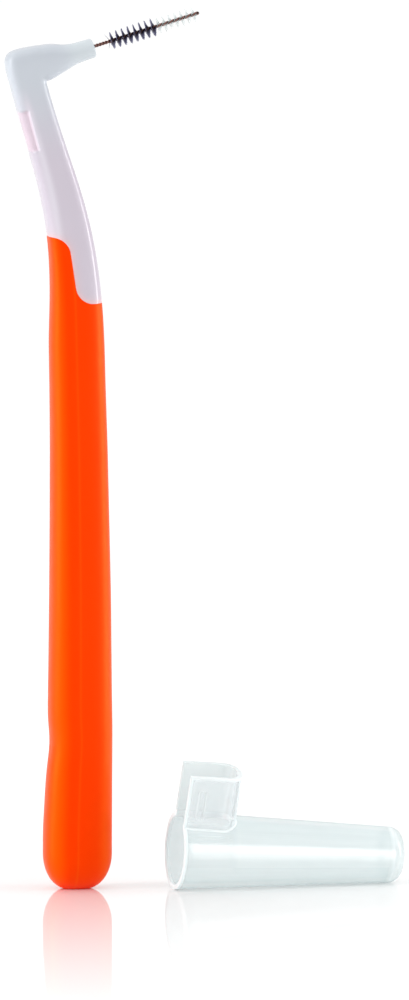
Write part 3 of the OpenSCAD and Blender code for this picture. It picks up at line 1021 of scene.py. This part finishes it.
def make_grip(material):
    zone_end = row_at(SEAM_LOW_Z - SEAM_ZONE)
    rows, insets = seam_rows(-1, zone_end)
    dent_top = row_at(DENT_TOP_Z)
    lower = np.concatenate([
        np.arange(0, FIRST_STRAIGHT),
        np.arange(FIRST_STRAIGHT, dent_top, RING_ROWS),
        np.arange(dent_top, zone_end - RING_ROWS, 2*RING_ROWS),
    ])
    skin = np.concatenate([
        surface(lower[:, None], RING[None, :]), surface(rows[::-1], RING[None, :], insets[::-1])
    ])
    piece = closed_skin("grip_sleeve", skin)
    boolean(piece, spine("spine_room"), "DIFFERENCE")
    points = piece_points(piece)
    from_middle = points[:, 0] - at_height(points[:, 2], SECTIONS[:, MIDDLE_X])
    line = np.exp(-((from_middle - PART_LINE_X)/PART_LINE_W)**2)
    # Painted light: lighter orange towards both sides of the grip
    side = np.abs(from_middle)/(GRIP_TOP_W/2)
    mark(piece, part_line=PART_LINE_SHARE*line, side=smoothstep((side - LIT_SIDE_START)/LIT_SIDE_FADE))
    return finished(piece, "brush", material, "grip", CRISP_TURN)


# Wire and filaments. Their own frame has +X along the wire from the end of the boss, and +Z up
BRUSH_L = TUFT_L*(DARK_COUNT + PALE_COUNT)
WIRE_L = WIRE_BARE + BRUSH_L + WIRE_END


def on_head(points):
    """Points of the wire's own frame, in the brush's."""
    x, z = head_point(points[:, :1], points[:, 2:]).T
    return np.stack([x, points[:, 1], z], axis=-1)


def wire_places(piece):
    """How far along the wire and how far from its axis each point of a piece lies."""
    points = piece_points(piece)
    s, n = in_head_frame(points)
    return s, np.hypot(n, points[:, 1])


def twist_table():
    """Angle of the filaments round the wire along its length, nothing where they point up."""
    s = np.linspace(-WIRE_TAIL, WIRE_L + WIRE_D, TWIST_STEPS)
    change = smoothstep((s - WIRE_BARE + PITCH_CHANGE_START)/PITCH_CHANGE_L)
    half_pitch = mix(BARE_HALF_PITCH, TUFT_L, change)
    angle = -np.cumsum(math.pi/half_pitch)*(s[1] - s[0])
    return s, angle - np.interp(WIRE_BARE + TUFT_L/2, s, angle)


TWIST_S, TWIST_ANGLE = twist_table()


def twist(s):
    return np.interp(s, TWIST_S, TWIST_ANGLE)


def round_wire(s, angle, r):
    """Points at that angle round the wire, where nothing is up and a quarter turn is the front."""
    return np.stack([s + 0*angle, -r*np.sin(angle), r*np.cos(angle)], axis=-1)


def tube(path, radii, sides):
    """A round tube along a path, with its sides carried along without twisting."""
    way = np.gradient(path, axis=0)
    way /= np.linalg.norm(way, axis=1)[:, None]
    across = np.empty_like(path)
    steep = abs(way[0][2]) >= NEARLY_UPRIGHT
    last = np.array([0.0, 1.0, 0.0] if steep else [0.0, 0.0, 1.0])
    for i, w in enumerate(way):
        last = last - w*(last @ w)
        last /= np.linalg.norm(last)
        across[i] = last
    beside = np.cross(way, across)
    a = 2*math.pi*np.arange(sides)/sides
    radii = np.broadcast_to(radii, len(path))[:, None, None]
    out = np.cos(a)[:, None]*across[:, None] + np.sin(a)[:, None]*beside[:, None]
    rings = path[:, None] + radii*out
    faces = grid_faces(len(path), sides)
    faces.append(list(range(sides))[::-1])
    faces.append([(len(path) - 1)*sides + k for k in range(sides)])
    return rings.reshape(-1, 3), faces


def joined(parts):
    points, faces, count = [], [], 0
    for part_points, part_faces in parts:
        points.append(part_points)
        faces += [[k + count for k in face] for face in part_faces]
        count += len(part_points)
    return np.concatenate(points), faces


def make_wire(material):
    strand_out = WIRE_D/2 - STRAND_R
    quarter = math.pi/2
    s = np.arange(-WIRE_TAIL + WIRE_TAIL_CUT, WIRE_L, WIRE_STEP)
    there = round_wire(s, twist(s) + quarter, strand_out)
    back = round_wire(s, twist(s) - quarter, strand_out)[::-1]
    last = twist(WIRE_L)
    bend_angles = np.linspace(0, math.pi, WIRE_BEND_STEPS + 1)
    out = WIRE_L + strand_out*np.sin(bend_angles)
    side = strand_out*np.cos(bend_angles)
    bend = round_wire(out, last + quarter, side)
    points, faces = tube(np.concatenate([there, bend, back]), STRAND_R, STRAND_SIDES)
    piece = new_mesh("twisted_wire", on_head(points), faces)
    s, from_axis = wire_places(piece)
    # Painted shade in the crevices where the two strands touch
    groove = smoothstep((STRAND_SHADE_R - from_axis)/STRAND_SHADE_FADE)
    # Painted shade where the dark filaments cover the wire
    dark_l = TUFT_L*DARK_COUNT
    near_dark = smoothstep((dark_l/2 - np.abs(s - WIRE_BARE - dark_l/2))/(TUFT_L/2))
    mark(piece, groove=groove, dyed=WIRE_TUFT_SHADE_SHARE*near_dark)
    return finished(piece, "brush", material, "wire")


def filament(rng, s, angle, reach, radii, lean):
    """One filament end, from the wire out to its tip, with a slight bend."""
    steps = np.linspace(0, 1, FILAMENT_ROWS)
    r = mix(FILAMENT_START, reach, steps)
    bend_along = rng.normal(0, BEND_ALONG_SPREAD)*steps**2 + lean*steps
    bend_round = rng.normal(0, BEND_ROUND_SPREAD)*steps**2
    path = round_wire(s + bend_along, angle + bend_round, r)
    return tube(path, mix(*radii, steps), FILAMENT_SIDES)


def make_tuft(kind, i, number, count, reach, radii, material):
    """The filaments of one half turn of the wire, as one piece that stands for one node."""
    rng = np.random.default_rng(SEED + number)
    start = WIRE_BARE + TUFT_L*number
    parts = []
    for k in range(count):
        s = start + TUFT_L*(k + 0.5 + rng.uniform(-PLACE_SPREAD, PLACE_SPREAD))/count
        for side in (0, math.pi):
            angle = twist(s) + side + rng.normal(0, ANGLE_SPREAD)
            up = (1 + math.cos(angle))/2
            lean = mix(GATHER_DOWN, GATHER_UP, up)*(start + TUFT_L/2 - s) + LEAN_UP*up
            length = reach*(1 - abs(rng.normal(0, LENGTH_SPREAD)))
            length *= mix(LEVEL_REACH_SHARE, 1, math.cos(angle)**2)
            parts.append(filament(rng, s, angle, length, radii, lean))
    if number == 0:
        for s, angle, length, lean in STRAYS:
            parts.append(filament(rng, start + s, angle, length*reach, radii, lean))
    points, faces = joined(parts)
    piece = new_mesh(f"{kind}_filaments_{i}", on_head(points), faces)
    _, from_axis = wire_places(piece)
    mark(piece, tip=smoothstep((from_axis/reach - TIP_START)/TIP_FADE))
    finished(piece, "brush", material, f"{kind}_tuft_{i}")


def make_tufts(materials):
    for kind, first, tufts, diameters, filaments, radii in (
        ("dark", 0, DARK_COUNT, DARK_D, DARK_FILAMENTS, DARK_R),
        ("pale", DARK_COUNT, PALE_COUNT, PALE_D, PALE_FILAMENTS, PALE_R),
    ):
        for i in range(tufts):
            reach = mix(*diameters, i/(tufts - 1))/2
            make_tuft(kind, i + 1, first + i, filaments, reach, radii, materials[kind])


# Cap. Its own frame has +X along its axis from the mouth, and +Z up the channel
def turned(name, profile):
    """A closed solid turned round the X axis from a profile of places along it and radii."""
    a = 2*math.pi*np.arange(ROUND_STEPS)/ROUND_STEPS
    x, r = np.array(profile).T[..., None]
    rings = np.stack([x + 0*a, r*np.sin(a), r*np.cos(a)], axis=-1)
    faces = grid_faces(len(profile), ROUND_STEPS)
    faces.append(list(range(ROUND_STEPS)))
    faces.append([(len(profile) - 1)*ROUND_STEPS + k for k in range(ROUND_STEPS)])
    return new_mesh(name, rings.reshape(-1, 3), faces)


def taper_profile(mouth_r, end_r, length, corner_r, start):
    """The outline of the cap or of its bore: a straight taper and a rounded corner."""
    a = np.linspace(0, math.pi/2, ARC_STEPS + 1)
    slope = (mouth_r - end_r)/CAP_TAPER_L
    straight_end = length - corner_r
    body = [(x, mouth_r - slope*x) for x in np.linspace(start, straight_end, TAPER_STEPS)]
    corner = [
        (straight_end + corner_r*math.sin(t), end_r - corner_r*(1 - math.cos(t))) for t in a[1:]
    ]
    return body + corner


def extruded_faces(count):
    """The sides and both ends of a solid between two outlines of that many points."""
    faces = [[k, (k + 1) % count, count + (k + 1) % count, count + k] for k in range(count)]
    return faces + [list(range(count)), list(range(count, 2*count))]


def prism(name, outline, top, drop):
    """An upright solid from the cap's axis up, over an outline in the XY plane. Its top is that
    much lower at the far end of the channel."""
    points = [(x, y, 0) for x, y in outline]
    points += [(x, y, top - drop*x/CHANNEL_L) for x, y in outline]
    return new_mesh(name, points, extruded_faces(len(outline)))


def channel_plan(start, length, width, corner_r):
    """The channel from above: open at the cap's mouth, and rounded at its closed end."""
    a = np.linspace(0, math.pi/2, ARC_STEPS + 1)
    right = list(zip(length - corner_r + corner_r*np.sin(a), width/2 - corner_r*(1 - np.cos(a))))
    left = [(x, -y) for x, y in right[::-1]]
    return [(start, width/2), *right, *left, (start, -width/2)]


def rib(side):
    """The rib that clicks into the notch: a bar with a round top, on one side of the channel."""
    a = np.linspace(0, math.pi, ARC_STEPS + 1)
    r = RIB_W/2
    outline = [(-r, RIB_LOW), (r, RIB_LOW)]
    outline += [(r*math.cos(t), RIB_HIGH - r + r*math.sin(t)) for t in a]
    inner = CHANNEL_IN_W/2 - RIB_OUT
    outer = CHANNEL_IN_W/2 + CAP_WALL/2
    points = [(RIB_FROM_MOUTH + x, side*y, z) for y in (inner, outer) for x, z in outline]
    return new_mesh("rib", points, extruded_faces(len(outline)))


def make_cap(material):
    mouth_r, end_r = CAP_MOUTH_D/2, CAP_END_D/2
    piece = turned("cap_shell", taper_profile(mouth_r, end_r, CAP_L, CAP_END_R, 0))
    block = prism(
        "block", channel_plan(0, CHANNEL_L, CHANNEL_OUT_W, CHANNEL_R), CHANNEL_H, CHANNEL_DROP
    )
    boolean(piece, block, "UNION")
    bore = turned("bore", taper_profile(
        mouth_r - CAP_WALL, end_r - CAP_WALL, CAP_L - CAP_END_WALL, CAP_END_R - CAP_WALL, -RUN
    ))
    boolean(piece, bore, "DIFFERENCE")
    slot = prism(
        "slot", channel_plan(-RUN, CHANNEL_L - CAP_WALL, CHANNEL_IN_W, CHANNEL_R - CAP_WALL),
        CHANNEL_H + RUN, 0,
    )
    boolean(piece, slot, "DIFFERENCE")
    for side in (-1, 1):
        boolean(piece, rib(side), "UNION")
    edge = piece.modifiers.new("edge", "BEVEL")
    edge.width = CAP_EDGE_R*MM
    edge.segments = CAP_EDGE_STEPS
    edge.limit_method = "ANGLE"
    edge.angle_limit = turn(CAP_EDGE_LEAST_TURN)
    apply_modifiers(piece)
    place = piece.data.attributes.new("cap_place", "FLOAT_VECTOR", "POINT")
    place.data.foreach_set("vector", piece_points(piece).astype(np.float32).ravel())
    piece.data.transform(
        Matrix.Translation(Vector((CAP_X, -CAP_Y, mouth_r*math.cos(CAP_SLOPE)))*MM)
        @ Matrix.Rotation(CAP_SLOPE, 4, "Y") @ Matrix.Rotation(turn(CAP_ROLL), 4, "X")
    )
    return finished(piece, "cap", material, "cap", CRISP_TURN)


# Camera, floor and light
def seen_from(azimuth, elevation):
    """The direction from the object to what stands there, and the turn that faces it back."""
    a, e = turn(azimuth), turn(elevation)
    back = Vector((math.sin(a)*math.cos(e), -math.cos(a)*math.cos(e), math.sin(e)))
    return back, (-back).to_track_quat("-Z", "Y")


def place_object(name, data, place, facing):
    made = new_object(name, data)
    made.location = place*MM
    made.rotation_mode = "QUATERNION"
    made.rotation_quaternion = facing
    return made


def make_camera():
    back, facing = seen_from(CAMERA_AZIMUTH, CAMERA_ELEVATION)
    across = (PHOTO_SIZE[0]/2 - ORIGIN_PIXEL[0])*PHOTO_SCALE
    up = (ORIGIN_PIXEL[1] - PHOTO_SIZE[1]/2)*PHOTO_SCALE
    data = bpy.data.cameras.new("camera")
    data.type = "ORTHO"
    data.ortho_scale = PHOTO_SIZE[1]*PHOTO_SCALE*MM
    data.clip_end = CAMERA_RANGE
    place = facing @ Vector((across, up, 0)) + back*CAMERA_DISTANCE
    bpy.context.scene.camera = place_object("camera", data, place, facing)


def make_floor():
    """A plain white floor that mirrors what stands on it, less and less further from the foot."""
    half = FLOOR_SIZE/2
    corners = [(-half, -half, 0), (half, -half, 0), (half, half, 0), (-half, half, 0)]
    floor = new_mesh("floor", corners, [[0, 1, 2, 3]])
    tree = Shading(bpy.data.materials.new("white_floor"))
    tree.fill(tree.shader, {
        "Base Color": FLOOR_WHITE, "Roughness": FLOOR_ROUGHNESS, "Specular IOR Level": 0,
    })
    mirror = tree.add("BsdfGlossy", {"Roughness": 0})
    place = tree.add("NewGeometry", {}).outputs["Position"]
    away = tree.add("VectorMath", {0: place}, operation="LENGTH").outputs["Value"]
    near = tree.ranged(away, 1, 0, 0, FLOOR_FADE*MM)
    share = tree.ranged(tree.calc("POWER", near, FLOOR_FADE_POWER), 0, FLOOR_MIRROR, 0, 1)
    both = tree.add("MixShader", {
        "Fac": share, 1: tree.shader.outputs["BSDF"], 2: mirror.outputs["BSDF"],
    })
    tree.fill(tree.nodes["Material Output"], {"Surface": both.outputs["Shader"]})
    floor.data.materials.append(tree.owner)


def make_light(name, azimuth, elevation, distance, size, power):
    back, facing = seen_from(azimuth, elevation)
    data = bpy.data.lights.new(name, "AREA")
    data.shape = "RECTANGLE"
    data.size, data.size_y = size[0]*MM, size[1]*MM
    data.energy = power
    return place_object(name, data, Vector((0, 0, LAMP_AIM_Z)) + back*distance, facing)


def light_only(lamp, name, *pieces):
    """Keeps a lamp's light to those pieces, which nothing else shades from it."""
    lit = bpy.data.collections.new(name)
    for piece in pieces:
        lit.objects.link(piece)
    lamp.light_linking.receiver_collection = lit
    lamp.light_linking.blocker_collection = lit


def make_world():
    """A ring of white and dark cards round the brush, which blends into a white ceiling."""
    world = bpy.data.worlds.new("studio")
    bpy.context.scene.world = world
    tree = Shading(world, "Background")
    way = tree.add("TexCoord", {}).outputs["Generated"]
    ring = tree.add("TexGradient", {"Vector": way}, gradient_type="RADIAL")
    ramp = tree.add("ValToRGB", {"Fac": ring.outputs["Fac"]})
    ramp.color_ramp.interpolation = "EASE"
    stops = ramp.color_ramp.elements
    stops.remove(stops[1])
    for i, (azimuth, level) in enumerate(STUDIO_RING):
        place = (azimuth - RING_START)/360
        stop = stops[0] if i == 0 else stops.new(place)
        stop.position = place
        stop.color = (level, level, level, 1)
    height = tree.ranged(tree.parts(way)["Z"], 0, 1, *CEILING_BLEND)
    light = tree.blended(height, ramp.outputs["Color"], (CEILING,)*3)
    ray = tree.add("LightPath", {}).outputs
    plain = tree.calc("MAXIMUM", ray["Is Camera Ray"], ray["Is Singular Ray"])
    tree.fill(tree.shader, {"Color": tree.blended(plain, light, (BACKDROP,)*3)})


make_camera()
make_world()
make_floor()
lamps = {name: make_light(name, *facts) for name, facts in LAMPS.items()}
lamps["cap_box"].data.color = CAP_BOX_COLOUR
bpy.context.scene.view_settings.view_transform = "Standard"

materials = make_materials()
make_neck(materials["neck"])
grip = make_grip(materials["grip"])
make_wire(materials["wire"])
make_tufts(materials)
cap = make_cap(materials["cap"])
light_only(lamps["cap_box"], "lit_in_front", cap)
light_only(lamps["floor_glow"], "lit_from_below", cap, grip)
